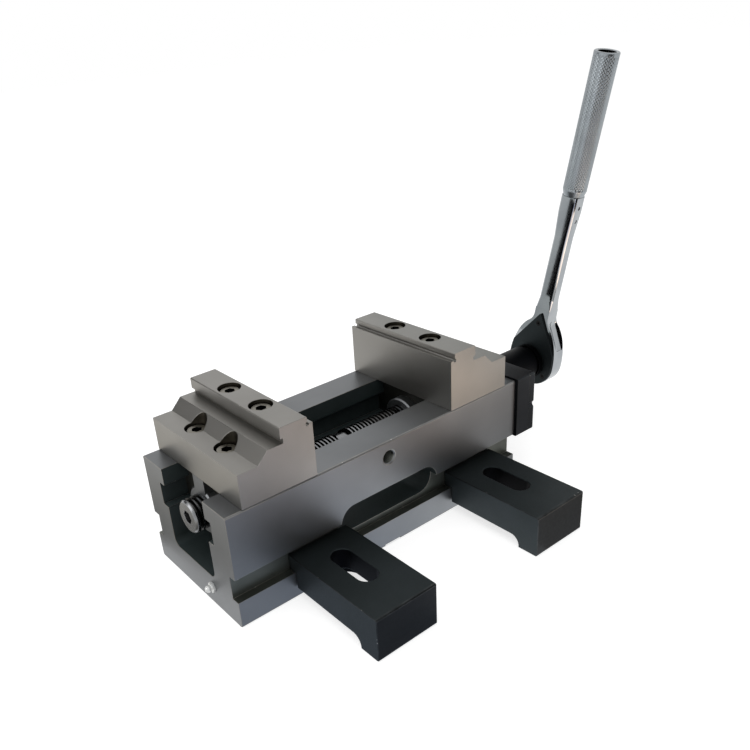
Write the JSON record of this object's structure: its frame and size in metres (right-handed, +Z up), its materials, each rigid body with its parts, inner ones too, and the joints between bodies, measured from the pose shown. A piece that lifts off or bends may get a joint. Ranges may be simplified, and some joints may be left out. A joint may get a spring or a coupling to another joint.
{
  "type": "self-centering vise",
  "caption": "Ground steel vise whose stepped jaws close together on a left- and right-hand screw, with side strap clamps and a ratchet wrench on its rear hexagon.",
  "frame": {"origin": "middle of the body's flat underside, half way between the two locating holes", "axes": "+X along the body from the open front end to the wrench, +Z up, so -Y is the side with the strap clamps"},
  "size_m": [0.3445, 0.1778, 0.2845],
  "materials": {
    "ground_steel": "surface-ground steel, satin",
    "jaw_steel": "finely ground hardened steel, satin",
    "black_oxide": "black oxide, satin",
    "thread_steel": "oiled turned steel",
    "bolt_steel": "blackened bolt steel",
    "bright_steel": "bright turned steel",
    "chrome_plate": "polished chrome plate",
    "knurled_chrome": "chrome-plated diamond knurl",
    "zinc": "zinc-plated",
    "bronze": "bearing bronze"
  },
  "bodies": {
    "base": {"vise_body": "ground_steel", "bearing_block": "black_oxide", "block_screws": "bolt_steel", "bearing_bush": "bronze", "thrust_washers": "bright_steel", "block_cover": "black_oxide", "cover_screws": "bolt_steel", "grease_nipple": "zinc"},
    "screw": {"leadscrew": "thread_steel", "wrench_socket": "black_oxide", "drive_gear": "bright_steel", "drive_ball": "bright_steel"},
    "front_carriage": {"front_slide": "bolt_steel", "front_nut": "jaw_steel", "front_nut_screw": "bolt_steel", "front_jaw": "jaw_steel", "front_jaw_long_bolts": "bolt_steel", "front_jaw_short_bolts": "bolt_steel", "front_jaw_dowels": "bright_steel"},
    "rear_carriage": {"rear_slide": "bolt_steel", "rear_nut": "jaw_steel", "rear_nut_screw": "bolt_steel", "rear_jaw": "jaw_steel", "rear_jaw_long_bolts": "bolt_steel", "rear_jaw_short_bolts": "bolt_steel", "rear_jaw_dowels": "bright_steel"},
    "wrench": {"ratchet_body": "chrome_plate", "ratchet_cover": "black_oxide", "ratchet_cover_screws": "bolt_steel", "pawl_pin": "bright_steel", "grip_tube": "knurled_chrome", "grip_pins": "bright_steel"},
    "selector": {"selector_drum": "bright_steel", "selector_lever": "chrome_plate", "selector_plunger": "bright_steel", "selector_spring": "bright_steel"},
    "pawl": {"ratchet_pawl": "bright_steel"},
    "front_strap": {"front_clamp": "black_oxide"},
    "rear_strap": {"rear_clamp": "black_oxide"}
  },
  "joints": [
    {"name": "screw_spin", "type": "hinge", "parent": "base", "child": "screw", "pos_m": [0, 0, 0.0544], "axis": [1, 0, 0], "range_deg": [-6480.1, 1080.1]},
    {"name": "front_jaw_slide", "type": "slide", "parent": "base", "child": "front_carriage", "axis": [-1, 0, 0], "range_m": [-0.054, 0.009]},
    {"name": "rear_jaw_slide", "type": "slide", "parent": "base", "child": "rear_carriage", "axis": [1, 0, 0], "range_m": [-0.054, 0.009]},
    {"name": "wrench_swing", "type": "hinge", "parent": "base", "child": "wrench", "pos_m": [0.2, 0, 0.0544], "axis": [1, 0, 0], "range_deg": [-106, 84]},
    {"name": "selector_turn", "type": "hinge", "parent": "wrench", "child": "selector", "pos_m": [0.21, -0.00519, 0.08039], "axis": [1, 0, 0], "range_deg": [-18, 18]},
    {"name": "pawl_rock", "type": "hinge", "parent": "wrench", "child": "pawl", "pos_m": [0.2063, -0.00333, 0.07107], "axis": [1, 0, 0], "range_deg": [-4.6, 4.6]},
    {"name": "front_clamp_slide", "type": "slide", "parent": "base", "child": "front_strap", "axis": [1, 0, 0], "range_m": [-0.041, 0.044]},
    {"name": "rear_clamp_slide", "type": "slide", "parent": "base", "child": "rear_strap", "axis": [1, 0, 0], "range_m": [-0.044, 0.0205]}
  ],
  "couplings": [
    {"joint": "screw_spin", "follows": "front_jaw_slide", "rad_per_m": 2094.4},
    {"joint": "rear_jaw_slide", "follows": "front_jaw_slide", "ratio": 1},
    {"joint": "pawl_rock", "follows": "selector_turn", "ratio": -0.25}
  ]
}
